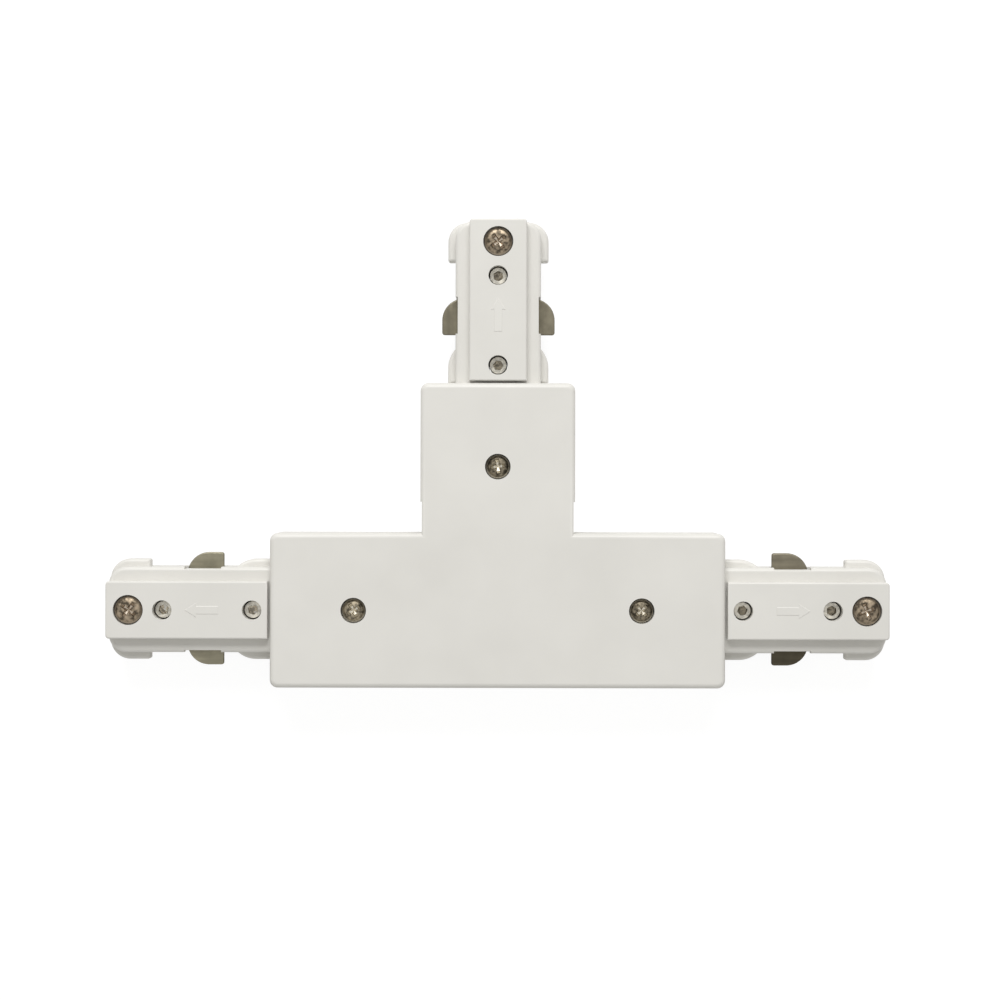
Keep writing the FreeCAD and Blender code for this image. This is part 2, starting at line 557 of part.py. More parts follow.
def neutral_busbar():
    """The other busbar, whose branch bridges the live one on its way up the stem."""
    body = piece("neutral_busbar")
    low, high = PLUG_FLOOR, f"{PLUG_FLOOR} + sheet_thickness"
    inner, outer, end = STRIP, f"{STRIP} + strip_width", "arm_reach - strip_end"
    near = f"{inner} - bridge_gap - sheet_thickness"
    far = f"{outer} + bridge_gap"
    pad(body, "strip", low, high,
        [(f"-({end})", f"-({outer})"), (end, f"-({outer})"), (end, f"-({inner})"), (outer, f"-({inner})"),
         (outer, f"{near} + sheet_thickness"), (inner, f"{near} + sheet_thickness"),
         (inner, f"-({inner})"), (f"-({end})", f"-({inner})")],
        block(inner, outer, far, end))
    lift = f"{PLUG_FLOOR} + bridge_lift"
    pad(body, "bridge_legs", low, f"{lift} + sheet_thickness",
        block(inner, outer, near, f"{near} + sheet_thickness"),
        block(inner, outer, far, f"{far} + sheet_thickness"))
    pad(body, "bridge", lift, f"{lift} + sheet_thickness",
        block(inner, outer, near, f"{far} + sheet_thickness"))
    pad(body, "tabs", low, WING_TOP, *busbar_tabs(-1, ("right", "stem")), *busbar_tabs(1, ("left",)))


def earth_link():
    """The flat T under the towers, stepped down at its ends to the three clamp bars."""
    body = piece("earth_link")
    half = "link_width / 2"
    pad(body, "plate", "link_height", LINK_TOP, tee(half, "arm_reach - link_drop_place"))
    step = across("arm_reach - link_drop_place - sheet_thickness", "arm_reach - link_drop_place", half)
    pad(body, "steps", BAR_TOP, LINK_TOP, *on_each_arm(step))
    foot = across("arm_reach - link_drop_place - sheet_thickness", "arm_reach - link_foot_end", half)
    pad(body, "feet", BAR_TOP, f"{BAR_TOP} + sheet_thickness", *on_each_arm(foot))
    hole = (HOUSING_SCREW, "0", "housing_screw_shank / 2 + shank_gap")
    cut(body, "screw_holes", "link_height", LINK_TOP, *on_each_arm(hole))


housing_cover()
housing_base()
live_busbar()
neutral_busbar()
earth_link()
for arm in ARMS:
    screw(f"housing_screw_{arm}", arm, "housing_screw", HOUSING_SCREW, HOUSING_SEAT, HOUSING_THREAD_BOTTOM)
    screw(f"plug_screw_{arm}", arm, "plug_screw", PLUG_SCREW, PLUG_SEAT, PLUG_THREAD_BOTTOM)
    plug_base(arm)
    plug_cover(arm)
    clamp_bar(arm)
    for place in ("inner", "outer"):
        set_screw(arm, place)
    for circuit in SIDES:
        contact(arm, circuit)
doc.recompute()

for item in doc.Objects:
    if "Invalid" in item.State or "Error" in item.State:
        raise RuntimeError(f"{item.Name} is {item.State}")
for body in pieces:
    if body.Shape.isNull() or not body.Shape.isValid() or len(body.Shape.Solids) != 1:
        raise RuntimeError(f"{body.Label} is not one valid solid")

os.makedirs("parts", exist_ok=True)
for body in pieces:
    body.Shape.exportStep(os.path.join("parts", f"{body.Label}.step"))
    print(f"{body.Label}: {body.Shape.Volume:.1f} mm3")
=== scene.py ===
"""Track connector: a white plastic T with a plug on each of its three arms, seen from straight above."""

import math

import bmesh
import bpy
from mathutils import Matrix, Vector


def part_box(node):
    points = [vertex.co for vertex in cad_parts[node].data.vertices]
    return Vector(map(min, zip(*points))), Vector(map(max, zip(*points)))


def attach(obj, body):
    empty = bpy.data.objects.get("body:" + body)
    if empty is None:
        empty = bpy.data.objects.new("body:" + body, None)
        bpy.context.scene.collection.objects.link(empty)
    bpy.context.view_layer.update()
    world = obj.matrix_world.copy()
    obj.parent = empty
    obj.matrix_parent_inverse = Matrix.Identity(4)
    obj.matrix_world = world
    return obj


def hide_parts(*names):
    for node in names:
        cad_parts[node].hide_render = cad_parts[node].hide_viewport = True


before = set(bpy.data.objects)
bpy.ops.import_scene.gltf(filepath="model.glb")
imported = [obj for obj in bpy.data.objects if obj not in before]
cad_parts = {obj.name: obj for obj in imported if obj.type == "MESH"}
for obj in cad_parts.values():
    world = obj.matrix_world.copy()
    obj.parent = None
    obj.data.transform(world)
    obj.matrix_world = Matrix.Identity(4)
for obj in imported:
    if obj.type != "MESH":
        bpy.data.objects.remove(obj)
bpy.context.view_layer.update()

MM = 0.001
ARMS = ("right", "stem", "left")


# Housing: the T-shaped cover and the plate that closes its back.
# Both are injection moulded in white plastic with a fine satin skin; the edges that the mould leaves
# are slightly round, and the three housing screws draw the two together.

def white_plastic(name, shift=0.0):
    """Satin white plastic: faint cloudy tone, fine mould grain, and sheen that varies a little."""
    material = bpy.data.materials.new(name)
    material.use_nodes = True
    nodes, links = material.node_tree.nodes, material.node_tree.links
    shader = nodes["Principled BSDF"]
    shader.inputs["IOR"].default_value = 1.5
    place = nodes.new("ShaderNodeTexCoord")
    mapping = nodes.new("ShaderNodeMapping")
    mapping.inputs["Location"].default_value = (shift, -shift, shift)
    links.new(place.outputs["Object"], mapping.inputs["Vector"])

    clouds = nodes.new("ShaderNodeTexNoise")
    clouds.inputs["Scale"].default_value = 55
    clouds.inputs["Detail"].default_value = 3
    links.new(mapping.outputs["Vector"], clouds.inputs["Vector"])
    tones = nodes.new("ShaderNodeValToRGB")
    tones.color_ramp.elements[0].position = 0.3
    tones.color_ramp.elements[0].color = (0.675, 0.662, 0.628, 1)
    tones.color_ramp.elements[1].position = 0.7
    tones.color_ramp.elements[1].color = (0.715, 0.702, 0.668, 1)
    links.new(clouds.outputs["Fac"], tones.inputs["Fac"])
    links.new(tones.outputs["Color"], shader.inputs["Base Color"])

    grain = nodes.new("ShaderNodeTexNoise")
    grain.inputs["Scale"].default_value = 4200
    grain.inputs["Detail"].default_value = 2
    links.new(mapping.outputs["Vector"], grain.inputs["Vector"])
    waves = nodes.new("ShaderNodeTexNoise")
    waves.inputs["Scale"].default_value = 260
    waves.inputs["Detail"].default_value = 2
    links.new(mapping.outputs["Vector"], waves.inputs["Vector"])
    sheen = nodes.new("ShaderNodeMapRange")
    sheen.inputs["To Min"].default_value = 0.36
    sheen.inputs["To Max"].default_value = 0.5
    links.new(waves.outputs["Fac"], sheen.inputs["Value"])
    links.new(sheen.outputs["Result"], shader.inputs["Roughness"])
    soft = nodes.new("ShaderNodeBump")
    soft.inputs["Strength"].default_value = 0.25
    soft.inputs["Distance"].default_value = 0.05 * MM
    links.new(waves.outputs["Fac"], soft.inputs["Height"])
    fine = nodes.new("ShaderNodeBump")
    fine.inputs["Strength"].default_value = 0.35
    fine.inputs["Distance"].default_value = 0.012 * MM
    links.new(grain.outputs["Fac"], fine.inputs["Height"])
    links.new(soft.outputs["Normal"], fine.inputs["Normal"])
    links.new(fine.outputs["Normal"], shader.inputs["Normal"])
    return material


def settle(piece):
    """Turns what a piece's modifiers make into its plain mesh."""
    graph = bpy.context.evaluated_depsgraph_get()
    mesh = bpy.data.meshes.new_from_object(piece.evaluated_get(graph))
    piece.modifiers.clear()
    piece.data = mesh


def eased_copy(node, name, edge, material):
    """A copy of a CAD piece with its hard edges rounded off, which then stands for it."""
    shell = bmesh.new()
    shell.from_mesh(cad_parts[node].data)
    bmesh.ops.remove_doubles(shell, verts=shell.verts, dist=0.001 * MM)
    bmesh.ops.dissolve_limit(shell, angle_limit=math.radians(0.5), verts=shell.verts, edges=shell.edges)
    mesh = bpy.data.meshes.new(name)
    shell.to_mesh(mesh)
    shell.free()
    stale = mesh.attributes.get("custom_normal")
    if stale:
        mesh.attributes.remove(stale)
    mesh.materials.clear()
    mesh.materials.append(material)
    mesh.shade_smooth()
    piece = bpy.data.objects.new(name, mesh)
    bpy.context.collection.objects.link(piece)
    bevel = piece.modifiers.new("edges", "BEVEL")
    bevel.width = edge
    bevel.segments = 2
    bevel.limit_method = "ANGLE"
    bevel.angle_limit = math.radians(40)
    bevel.miter_outer = "MITER_ARC"
    flats = piece.modifiers.new("flats", "WEIGHTED_NORMAL")
    flats.weight = 100
    settle(piece)
    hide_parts(node)
    return piece


housing_plastic = white_plastic("housing_plastic")
for node, name in (("housing_cover", "housing_shell"), ("housing_base", "housing_back")):
    part = eased_copy(node, name, 0.12 * MM, housing_plastic)
    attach(part, "root")


# Plugs: a tray with guide lobes below, and a stepped cover above it, one pair on each arm.
# They are moulded in the same white plastic as the housing, and the plug screw holds each pair
# together; a flange at the root hooks each plug behind the housing's end wall.

for number, arm in enumerate(ARMS):
    plug_plastic = white_plastic(f"plug_plastic_{arm}", shift=0.3 + 0.2 * number)
    for node, name in ((f"plug_base_{arm}", f"plug_tray_{arm}"), (f"plug_cover_{arm}", f"plug_cap_{arm}")):
        part = eased_copy(node, name, 0.1 * MM, plug_plastic)
        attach(part, "root")


# Direction marks: a low raised arrow on the cap of each plug, between the two key holes.
# Each is moulded in one with the cap and points outwards, the way that the plug goes in.

def new_tree(name, inputs):
    """An empty Geometry Nodes tree with the given inputs, its input and output nodes placed."""
    tree = bpy.data.node_groups.new(name, "GeometryNodeTree")
    tree.interface.new_socket("Geometry", in_out="INPUT", socket_type="NodeSocketGeometry")
    for label, kind in inputs:
        tree.interface.new_socket(label, in_out="INPUT", socket_type=f"NodeSocket{kind}")
    tree.interface.new_socket("Geometry", in_out="OUTPUT", socket_type="NodeSocketGeometry")
    return tree, tree.nodes.new("NodeGroupInput"), tree.nodes.new("NodeGroupOutput")


def set_inputs(modifier, values):
    """Sets a modifier's inputs by the identifiers of their sockets."""
    for item in modifier.node_group.interface.items_tree:
        if item.in_out == "INPUT" and item.name in values:
            modifier[item.identifier] = values[item.name]


def seat_tree():
    """Seats copies of a piece on the arms: Reach from the crossing, Height, and a Turn for each arm."""
    turns = [f"Turn {arm}" for arm in ARMS]
    tree, given, result = new_tree("seats_on_the_arms", [
        ("Reach", "Float"), ("Height", "Float"), ("First arm", "Int"), ("Arms", "Int"),
        *((turn, "Float") for turn in turns), ("Material", "Material")])
    nodes, links = tree.nodes, tree.links

    index = nodes.new("GeometryNodeInputIndex")
    arm = nodes.new("ShaderNodeMath")
    arm.operation = "ADD"
    links.new(index.outputs["Index"], arm.inputs[0])
    links.new(given.outputs["First arm"], arm.inputs[1])
    angle = nodes.new("ShaderNodeMath")
    angle.operation = "MULTIPLY"
    angle.inputs[1].default_value = math.pi / 2
    links.new(arm.outputs["Value"], angle.inputs[0])

    seat = nodes.new("ShaderNodeCombineXYZ")
    links.new(given.outputs["Reach"], seat.inputs["X"])
    links.new(given.outputs["Height"], seat.inputs["Z"])
    swung = nodes.new("ShaderNodeVectorRotate")
    swung.rotation_type = "Z_AXIS"
    links.new(seat.outputs["Vector"], swung.inputs["Vector"])
    links.new(angle.outputs["Value"], swung.inputs["Angle"])
    seats = nodes.new("GeometryNodePoints")
    links.new(given.outputs["Arms"], seats.inputs["Count"])
    links.new(swung.outputs["Vector"], seats.inputs["Position"])

    own_turn = nodes.new("GeometryNodeIndexSwitch")
    own_turn.data_type = "FLOAT"
    own_turn.index_switch_items.new()
    links.new(arm.outputs["Value"], own_turn.inputs["Index"])
    for number, turn in enumerate(turns):
        links.new(given.outputs[turn], own_turn.inputs[str(number)])
    whole_turn = nodes.new("ShaderNodeMath")
    whole_turn.operation = "ADD"
    links.new(angle.outputs["Value"], whole_turn.inputs[0])
    links.new(own_turn.outputs["Output"], whole_turn.inputs[1])
    rotation = nodes.new("ShaderNodeCombineXYZ")
    links.new(whole_turn.outputs["Value"], rotation.inputs["Z"])

    copies = nodes.new("GeometryNodeInstanceOnPoints")
    links.new(seats.outputs["Points"], copies.inputs["Points"])
    links.new(given.outputs["Geometry"], copies.inputs["Instance"])
    links.new(rotation.outputs["Vector"], copies.inputs["Rotation"])
    real = nodes.new("GeometryNodeRealizeInstances")
    links.new(copies.outputs["Instances"], real.inputs["Geometry"])
    finish = nodes.new("GeometryNodeSetMaterial")
    links.new(real.outputs["Geometry"], finish.inputs["Geometry"])
    links.new(given.outputs["Material"], finish.inputs["Material"])
    links.new(finish.outputs["Geometry"], result.inputs["Geometry"])
    return tree


seats_on_arms = seat_tree()


def seated(name, pattern, reach, height, material, turns=(0, 0, 0), first=0, count=3):
    """A piece made of copies of a pattern mesh, seated on one arm or more."""
    piece = bpy.data.objects.new(name, pattern)
    bpy.context.collection.objects.link(piece)
    modifier = piece.modifiers.new("seats", "NODES")
    modifier.node_group = seats_on_arms
    values = {"Reach": reach, "Height": height, "First arm": first, "Arms": count, "Material": material}
    for arm, turn in zip(ARMS, turns):
        values[f"Turn {arm}"] = math.radians(turn)
    set_inputs(modifier, values)
    settle(piece)
    return piece


def arrow_pattern():
    """A low block arrow that points along +X, with drafted sides and its underside a little sunk."""
    tail, neck, tip = -3.8 * MM, 1.2 * MM, 3.9 * MM
    shaft, barb = 0.95 * MM, 1.7 * MM
    outline = [(tail, -shaft), (neck, -shaft), (neck, -barb), (tip, 0), (neck, barb), (neck, shaft),
               (tail, shaft)]
    height, draft, sunk = 0.1 * MM, 0.2 * MM, 0.1 * MM
    mark = bmesh.new()
    lower = [mark.verts.new((x, y, -sunk)) for x, y in outline]
    face = mark.faces.new(lower)
    walls = bmesh.ops.extrude_face_region(mark, geom=[face])
    upper = [item for item in walls["geom"] if isinstance(item, bmesh.types.BMVert)]
    for vert in upper:
        vert.co.z = 0
    top = [item for item in walls["geom"] if isinstance(item, bmesh.types.BMFace)]
    bmesh.ops.inset_region(mark, faces=top, thickness=draft, depth=0)
    for face in top:
        for vert in face.verts:
            vert.co.z = height
    bmesh.ops.recalc_face_normals(mark, faces=mark.faces)
    mesh = bpy.data.meshes.new("arrow_pattern")
    mark.to_mesh(mesh)
    mark.free()
    return mesh


cap_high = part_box("plug_cover_right")[1]
cover_low, cover_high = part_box("housing_cover")
arrow_place = 15.4 * MM
marks = seated("direction_marks", arrow_pattern(), cover_high.x + arrow_place, cap_high.z,
               white_plastic("mark_plastic", shift=0.9))
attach(marks, "root")


# Contacts: six folded strips of nickel-plated brass, two in each plug, with an olive cast; one wing's
# near-black tone is painted dark reflection.
# The upright leaf springs inside the plug, and the flat wing with its rounded lead-in stands out
# through a slot in the plug's side to meet the track's conductor.

def plated_strip(name, tint, scratch):
    """Dull plating over rolled sheet: fine rolling lines, blotchy tone and a few brighter rubs."""
    material = bpy.data.materials.new(name)
    material.use_nodes = True
    nodes, links = material.node_tree.nodes, material.node_tree.links
    shader = nodes["Principled BSDF"]
    shader.inputs["Metallic"].default_value = 1
    place = nodes.new("ShaderNodeTexCoord")
    lines_place = nodes.new("ShaderNodeMapping")
    lines_place.inputs["Scale"].default_value = scratch
    links.new(place.outputs["Object"], lines_place.inputs["Vector"])
    lines = nodes.new("ShaderNodeTexNoise")
    lines.inputs["Scale"].default_value = 900
    lines.inputs["Detail"].default_value = 3
    links.new(lines_place.outputs["Vector"], lines.inputs["Vector"])
    blotches = nodes.new("ShaderNodeTexNoise")
    blotches.inputs["Scale"].default_value = 330
    blotches.inputs["Detail"].default_value = 4
    links.new(place.outputs["Object"], blotches.inputs["Vector"])
    both = nodes.new("ShaderNodeMath")
    both.operation = "MULTIPLY"
    links.new(lines.outputs["Fac"], both.inputs[0])
    links.new(blotches.outputs["Fac"], both.inputs[1])
    tones = nodes.new("ShaderNodeValToRGB")
    tones.color_ramp.elements[0].position = 0.12
    tones.color_ramp.elements[0].color = (*(part * 0.72 for part in tint), 1)
    tones.color_ramp.elements[1].position = 0.4
    tones.color_ramp.elements[1].color = (*(part * 1.12 for part in tint), 1)
    links.new(both.outputs["Value"], tones.inputs["Fac"])
    links.new(tones.outputs["Color"], shader.inputs["Base Color"])
    polish = nodes.new("ShaderNodeMapRange")
    polish.inputs["To Min"].default_value = 0.34
    polish.inputs["To Max"].default_value = 0.5
    links.new(blotches.outputs["Fac"], polish.inputs["Value"])
    links.new(polish.outputs["Result"], shader.inputs["Roughness"])
    bump = nodes.new("ShaderNodeBump")
    bump.inputs["Strength"].default_value = 0.3
    bump.inputs["Distance"].default_value = 0.01 * MM
    links.new(lines.outputs["Fac"], bump.inputs["Height"])
    links.new(bump.outputs["Normal"], shader.inputs["Normal"])
    return material


# The plating is lighter on the left arm and darker on the right and stem arms.
lighter_plating = plated_strip("contact_plating_lighter", (0.27, 0.25, 0.182), (0.08, 1, 1))
darker_plating = plated_strip("contact_plating_darker", (0.2, 0.18, 0.133), (0.08, 1, 1))
darker_plating_across = plated_strip("contact_plating_darker_across", (0.208, 0.188, 0.137), (1, 0.08, 1))
# The right plug's neutral wing is painted near-black as a painted dark reflection, not a tarnish of its
# own.
painted_dark_plating = plated_strip("contact_plating_painted_dark_reflection", (0.08, 0.07, 0.048), (0.08, 1, 1))
finishes = {"contact_right_live": darker_plating, "contact_right_neutral": painted_dark_plating,
            "contact_stem_live": darker_plating_across, "contact_stem_neutral": darker_plating_across,
            "contact_left_live": lighter_plating, "contact_left_neutral": lighter_plating}
for node, plating in finishes.items():
    strip = eased_copy(node, node.replace("contact", "contact_strip"), 0.06 * MM, plating)
    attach(strip, node)


# Screws: three pan-head screws in the housing and a larger one near the tip of each plug.
# They are plated steel with an olive skin, partly darkened as painted dark reflection, have a tapered cross
# recess painted bright as a painted highlight, and cut their own coarse thread in the plastic.

def closed_rings(bm, rings, ends):
    """Joins rings of points with quads, and closes the first and the last ring to a point each."""
    loops = [[bm.verts.new(point) for point in ring] for ring in rings]
    for one, other in zip(loops, loops[1:]):
        for i in range(len(one)):
            j = (i + 1) % len(one)
            bm.faces.new((one[i], one[j], other[j], other[i]))
    for loop, end in zip((loops[0], loops[-1]), ends):
        middle = bm.verts.new(end)
        for i in range(len(loop)):
            bm.faces.new((loop[i], loop[(i + 1) % len(loop)], middle))
    bmesh.ops.recalc_face_normals(bm, faces=bm.faces)


def mesh_of(bm, name, sharp):
    """The finished mesh, smooth but for edges sharper than the given angle."""
    mesh = bpy.data.meshes.new(name)
    bm.to_mesh(mesh)
    bm.free()
    mesh.shade_smooth()
    mesh.set_sharp_from_angle(angle=math.radians(sharp))
    return mesh


def cross_outline(reach, half, shares):
    """A cross with arms of the given reach and half width; shares place the points on its flanks."""
    flank = [(reach - share * (reach - half), half) for share in shares]
    end = [(reach, half / 3), (reach, -half / 3)]
    wing = [*reversed(flank), *end, *((x, -y) for x, y in flank[:-1])]
    points = []
    for quarter in range(4):
        turn = -quarter * math.pi / 2
        for x, y in wing:
            points.append((x * math.cos(turn) - y * math.sin(turn),
                           x * math.sin(turn) + y * math.cos(turn)))
    return points


def screw_pattern(name, head, height, shank, length, drive):
    """A pan-head screw whose seat is at Z = 0, with a cross recess and a coarse thread."""
    radius, reach, half = head / 2, drive / 2, 0.42 * MM
    wing_angle = math.atan2(half, reach)
    steps = 4
    shares = []
    for step in range(steps + 1):
        angle = wing_angle + (math.pi / 4 - wing_angle) * step / steps
        shares.append((reach - half / math.tan(angle)) / (reach - half))
    rim = cross_outline(reach, half, shares)
    angles = [math.atan2(y, x) for x, y in rim]
    shoulder = 0.42 * height

    def dome(distance):
        return shoulder + (height - shoulder) * (1 - min(distance / radius, 1) ** 3) ** (1 / 3)

    def ring(distance, level):
        return [Vector((distance * math.cos(a), distance * math.sin(a), level)) for a in angles]

    rings = []
    depth, lip = 1.25 * MM, 0.06 * MM
    for share in (1, 0.5):
        narrow = cross_outline(reach * (1 - 0.42 * share), half * (1 - 0.3 * share), shares)
        rings.append([Vector((x, y, height - depth * share)) for x, y in narrow])
    rings.append([Vector((x, y, dome(math.hypot(x, y)) - lip)) for x, y in rim])
    for share in (0, 0.5):
        points = []
        for (x, y), angle in zip(rim, angles):
            distance = math.hypot(x, y) + lip
            distance += (0.72 * radius - distance) * share
            points.append(Vector((distance * math.cos(angle), distance * math.sin(angle), dome(distance))))
        rings.append(points)
    for share in (0.72, 0.84, 0.92, 0.97, 0.993, 1):
        rings.append(ring(share * radius, dome(share * radius)))
    rings += [ring(radius, 0.1 * MM), ring(radius - 0.1 * MM, 0), ring(shank, 0),
              ring(shank * 0.78, -0.25 * MM)]

    pitch, rows = 1.25 * MM, 8
    core, start, point = shank * 0.72, 0.6 * MM, 1.6 * MM
    count = round((length - start - point) / pitch * rows)
    for row in range(count + 1):
        level = -start - row * pitch / rows
        ramp = min(1, row / rows, (count - row) / rows)
        points = []
        for angle in angles:
            phase = (row / rows + angle / math.tau) % 1
            crest = max(0, 1 - abs(phase - 0.5) / 0.28)
            distance = core + (shank * 0.98 - core) * crest * ramp
            points.append(Vector((distance * math.cos(angle), distance * math.sin(angle), level)))
        rings.append(points)
    rings.append(ring(shank * 0.3, -length + 0.25 * MM))
    bm = bmesh.new()
    closed_rings(bm, rings, ((0, 0, height - depth - 0.35 * MM), (0, 0, -length)))
    return mesh_of(bm, name, 38)


def screw_finish(name, skin, recess, top, depth, contrast, roughness, left_gain=1, recess_spread=1):
    """A mottled skin of plating, lighter on the left arm, and another tone down in the drive recess.

    A dark skin tone and its lift on the left arm are partly painted reflection, and the skin's lighter
    spots partly painted glints; the recess tone is painted highlight or shade, laid in by height.
    The recess lies between the levels top and top - depth; contrast spreads the tones of the skin,
    and recess_spread those of the recess.
    """
    material = bpy.data.materials.new(name)
    material.use_nodes = True
    nodes, links = material.node_tree.nodes, material.node_tree.links
    shader = nodes["Principled BSDF"]
    shader.inputs["Metallic"].default_value = 1
    place = nodes.new("ShaderNodeTexCoord")
    mottle = nodes.new("ShaderNodeTexNoise")
    mottle.inputs["Scale"].default_value = 1100
    mottle.inputs["Detail"].default_value = 4
    links.new(place.outputs["Object"], mottle.inputs["Vector"])
    tones = nodes.new("ShaderNodeValToRGB")
    tones.color_ramp.elements[0].position = 0.38
    tones.color_ramp.elements[0].color = (*(part / contrast for part in skin), 1)
    tones.color_ramp.elements[1].position = 0.62
    tones.color_ramp.elements[1].color = (*(part * contrast for part in skin), 1)
    links.new(mottle.outputs["Fac"], tones.inputs["Fac"])
    place_parts = nodes.new("ShaderNodeSeparateXYZ")
    links.new(place.outputs["Object"], place_parts.inputs["Vector"])
    # Painted reflection: the skin is scaled lighter on the left arm.
    gain = nodes.new("ShaderNodeMapRange")
    gain.inputs["From Min"].default_value = -10 * MM
    gain.inputs["From Max"].default_value = -20 * MM
    gain.inputs["To Min"].default_value = 1
    gain.inputs["To Max"].default_value = left_gain
    links.new(place_parts.outputs["X"], gain.inputs["Value"])
    skin_by_arm = nodes.new("ShaderNodeVectorMath")
    skin_by_arm.operation = "SCALE"
    links.new(tones.outputs["Color"], skin_by_arm.inputs["Vector"])
    links.new(gain.outputs["Result"], skin_by_arm.inputs["Scale"])
    below_rim = nodes.new("ShaderNodeMapRange")
    below_rim.inputs["From Min"].default_value = top
    below_rim.inputs["From Max"].default_value = top - 0.25 * MM
    links.new(place_parts.outputs["Z"], below_rim.inputs["Value"])
    above_recess_end = nodes.new("ShaderNodeMath")
    above_recess_end.operation = "GREATER_THAN"
    above_recess_end.inputs[1].default_value = top - depth
    links.new(place_parts.outputs["Z"], above_recess_end.inputs[0])
    inside = nodes.new("ShaderNodeMath")
    inside.operation = "MULTIPLY"
    links.new(below_rim.outputs["Result"], inside.inputs[0])
    links.new(above_recess_end.outputs["Value"], inside.inputs[1])
    # Painted light and shade in the recess: spots of painted glint and shade, then the recess tone laid in
    # by height.
    rubs = nodes.new("ShaderNodeMapRange")
    rubs.inputs["From Min"].default_value = 0.4
    rubs.inputs["From Max"].default_value = 0.6
    rubs.inputs["To Min"].default_value = 1 / recess_spread
    rubs.inputs["To Max"].default_value = recess_spread
    links.new(mottle.outputs["Fac"], rubs.inputs["Value"])
    recess_tone = nodes.new("ShaderNodeVectorMath")
    recess_tone.operation = "SCALE"
    recess_tone.inputs["Vector"].default_value = recess
    links.new(rubs.outputs["Result"], recess_tone.inputs["Scale"])
    painted_recess_mix = nodes.new("ShaderNodeMix")
    painted_recess_mix.data_type = "RGBA"
    links.new(recess_tone.outputs["Vector"], painted_recess_mix.inputs["B"])
    links.new(inside.outputs["Value"], painted_recess_mix.inputs["Factor"])
    links.new(skin_by_arm.outputs["Vector"], painted_recess_mix.inputs["A"])
    links.new(painted_recess_mix.outputs["Result"], shader.inputs["Base Color"])
    polish = nodes.new("ShaderNodeMapRange")
    polish.inputs["To Min"].default_value = roughness
    polish.inputs["To Max"].default_value = roughness + 0.25
    links.new(mottle.outputs["Fac"], polish.inputs["Value"])
    links.new(polish.outputs["Result"], shader.inputs["Roughness"])
    bump = nodes.new("ShaderNodeBump")
    bump.inputs["Strength"].default_value = 0.5
    bump.inputs["Distance"].default_value = 0.03 * MM
    links.new(mottle.outputs["Fac"], bump.inputs["Height"])
    links.new(bump.outputs["Normal"], shader.inputs["Normal"])
    return material


def seat_screws(name, kind, head_height, shank, drive, turns, skin, recess, left_gain):
    """All three screws of a kind, each where its CAD screw is and turned as it was driven."""
    low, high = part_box(f"{kind}_right")
    seat = high.z - head_height
    pattern = screw_pattern(f"{name}_pattern", high.x - low.x, head_height, shank, seat - low.z, drive)
    finish = screw_finish(f"{name}_plating", skin, recess, top=high.z - 0.32 * MM, depth=1.6 * MM,
                          contrast=2.2, roughness=0.25, left_gain=left_gain)
    screws = seated(name, pattern, (low.x + high.x) / 2, seat, finish, turns)
    for arm in ARMS:
        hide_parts(f"{kind}_{arm}")
    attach(screws, "root")


# The dark skins are partly painted dark reflection, and the bright recess tones are painted highlights.
seat_screws("housing_screws", "housing_screw", head_height=2.0 * MM, shank=1.45 * MM, drive=3.4 * MM,
            turns=(43, 8, 30), skin=(0.106, 0.091, 0.066), recess=(0.66, 0.62, 0.53), left_gain=1.5)
seat_screws("plug_screws", "plug_screw", head_height=2.2 * MM, shank=1.7 * MM, drive=4.0 * MM,
            turns=(20, 38, 52), skin=(0.14, 0.113, 0.081), recess=(0.51, 0.445, 0.365), left_gain=1.1)


# Set screws: two in each plug, headless, of plain light steel with a hexagon socket and a flat tip.
# They turn in the clamp bar below the cap, and their tips lock the plug against the track.

def set_screw_pattern(radius, length, key, depth):
    """A headless screw with its tip at Z = 0, a fine thread, and a socket in its upper end."""
    columns, pitch, rows = 36, 0.7 * MM, 6
    angles = [math.tau * i / columns for i in range(columns)]

    def ring(distance, level):
        return [Vector((distance * math.cos(a), distance * math.sin(a), level)) for a in angles]

    def hexagon(across, level):
        points = []
        for angle in angles:
            distance = across / 2 / math.cos((angle % (math.pi / 3)) - math.pi / 6)
            points.append(Vector((distance * math.cos(angle), distance * math.sin(angle), level)))
        return points

    rings = [ring(radius * 0.5, 0.25 * MM), ring(radius * 0.62, 0), ring(radius * 0.86, 0.5 * MM)]
    start, end = 0.6 * MM, length - 0.25 * MM
    count = round((end - start) / pitch * rows)
    for row in range(count + 1):
        ramp = min(1, row / rows, (count - row) / rows)
        points = []
        for angle in angles:
            phase = (row / rows - angle / math.tau) % 1
            groove = 1 - abs(2 * phase - 1)
            distance = radius * (0.86 + 0.135 * groove * ramp)
            level = start + (end - start) * row / count
            points.append(Vector((distance * math.cos(angle), distance * math.sin(angle), level)))
        rings.append(points)
    rings += [ring(radius * 0.97, length - 0.12 * MM), ring(radius * 0.93, length),
              hexagon(key * 1.08, length), hexagon(key, length - 0.06 * MM),
              hexagon(key, length - depth), hexagon(key * 0.8, length - depth - 0.02 * MM)]
    bm = bmesh.new()
    closed_rings(bm, rings, ((0, 0, 0.45 * MM), (0, 0, length - depth - 0.5 * MM)))
    return mesh_of(bm, "set_screw_pattern", 35)


key_turns = {"inner": (12, 25, 40), "outer": (33, 5, 18)}
